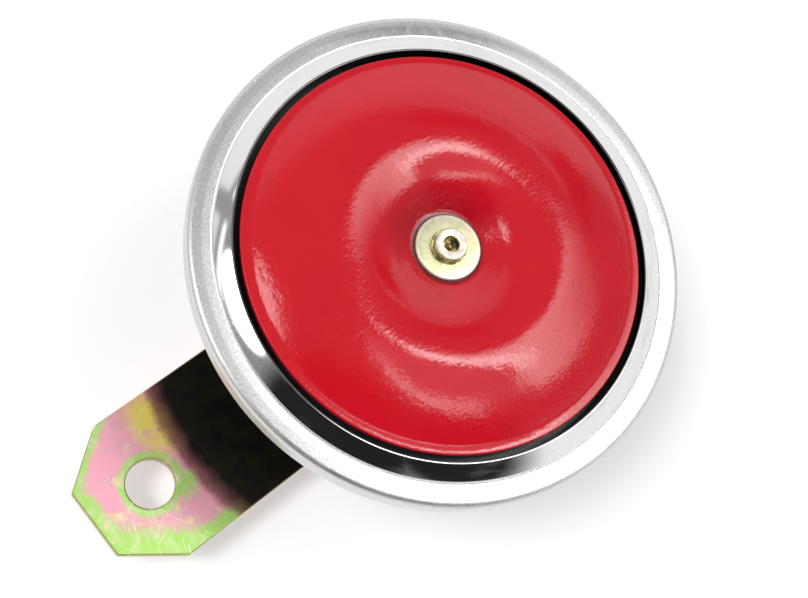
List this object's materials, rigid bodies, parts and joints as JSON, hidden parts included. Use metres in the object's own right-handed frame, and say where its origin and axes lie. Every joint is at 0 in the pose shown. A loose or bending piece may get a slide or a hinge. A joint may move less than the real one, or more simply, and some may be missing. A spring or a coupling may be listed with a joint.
{
  "type": "electric disc horn",
  "caption": "Electric disc horn: dished tone disc in a rolled rim over a stepped pressed case, with coil, contact breaker and blade terminals, on a flat bracket with one bolt hole.",
  "frame": {"origin": "centre of the bracket's mounting hole on the strip's rear face", "axes": "+Z along the horn axis, out of the sounding face; +Y along the strip from the mounting hole towards the horn axis; +X completes a right-handed frame"},
  "size_m": [0.092, 0.1179, 0.0622],
  "materials": {
    "zinc_yellow": "glossy yellow-green zinc passivate with pink and green tints",
    "ring_plate": "bright plated inner band, satin rolled outer band",
    "gasket": "matt",
    "diaphragm_black": "semi-gloss black",
    "housing_black": "gloss black enamel",
    "disc_red": "gloss red enamel with a light orange-peel",
    "washer_zinc": "pale yellow-green zinc",
    "steel_bright": "bright zinc",
    "iron_soft": "soft iron, phosphated",
    "bobbin_plastic": "natural moulded nylon",
    "copper_wire": "enamelled copper wire",
    "lead_sleeve": "insulating sleeve",
    "fibre": "laminated insulating fibre",
    "spring_brass": "rolled spring bronze",
    "contact_metal": "tungsten",
    "terminal_plastic": "moulded phenolic",
    "terminal_brass": "tin-dulled brass",
    "resistor_body": "cement coated"
  },
  "bodies": {
    "bracket": {"bracket": "zinc_yellow"},
    "horn_case": {"rim_ring": "ring_plate", "front_gasket": "gasket", "diaphragm": "diaphragm_black", "rear_gasket": "gasket", "housing": "housing_black", "pole_core": "iron_soft", "coil_bobbin": "bobbin_plastic", "coil_winding": "copper_wire", "coil_leads": "lead_sleeve", "breaker_base": "steel_bright", "blade_insulators": "fibre", "fixed_contact_blade": "spring_brass", "fixed_contact_tip": "contact_metal", "breaker_rivets": "steel_bright", "adjuster_bushing": "terminal_brass", "terminal_base": "terminal_plastic", "terminal_a": "terminal_brass", "terminal_b": "terminal_brass", "terminal_rivets": "steel_bright", "resistor": "resistor_body", "resistor_leads": "steel_bright", "flat_washer": "zinc_yellow", "lock_washer": "steel_bright", "bracket_nut": "zinc_yellow"},
    "vibrator": {"tone_disc": "disc_red", "front_washer": "washer_zinc", "centre_rod": "steel_bright", "disc_spacer": "steel_bright", "armature": "iron_soft", "breaker_pusher": "fibre"},
    "moving_contact": {"moving_contact_blade": "spring_brass", "moving_contact_tip": "contact_metal"},
    "adjuster": {"adjusting_screw": "steel_bright"}
  },
  "joints": [
    {"name": "horn_swivel", "type": "hinge", "parent": "bracket", "child": "horn_case", "pos_m": [0, 0.0591, 0], "axis": [0, 0, 1], "continuous": true},
    {"name": "diaphragm_stroke", "type": "slide", "parent": "horn_case", "child": "vibrator", "axis": [0, 0, 1], "range_m": [-0.0008, 0], "stiffness_N_per_m": 3000, "springref_m": 0.0004, "deforming": ["diaphragm"]},
    {"name": "contact_opening", "type": "hinge", "parent": "horn_case", "child": "moving_contact", "pos_m": [0.0285, 0.0591, 0.0312], "axis": [0, 1, 0], "range_deg": [-3, 0]},
    {"name": "adjuster_turn", "type": "hinge", "parent": "horn_case", "child": "adjuster", "pos_m": [0.0252, 0.0591, 0.018], "axis": [0, 0, 1], "range_deg": [-90, 90]}
  ],
  "couplings": [
    {"joint": "contact_opening", "follows": "diaphragm_stroke", "rad_per_m": 60.606}
  ]
}
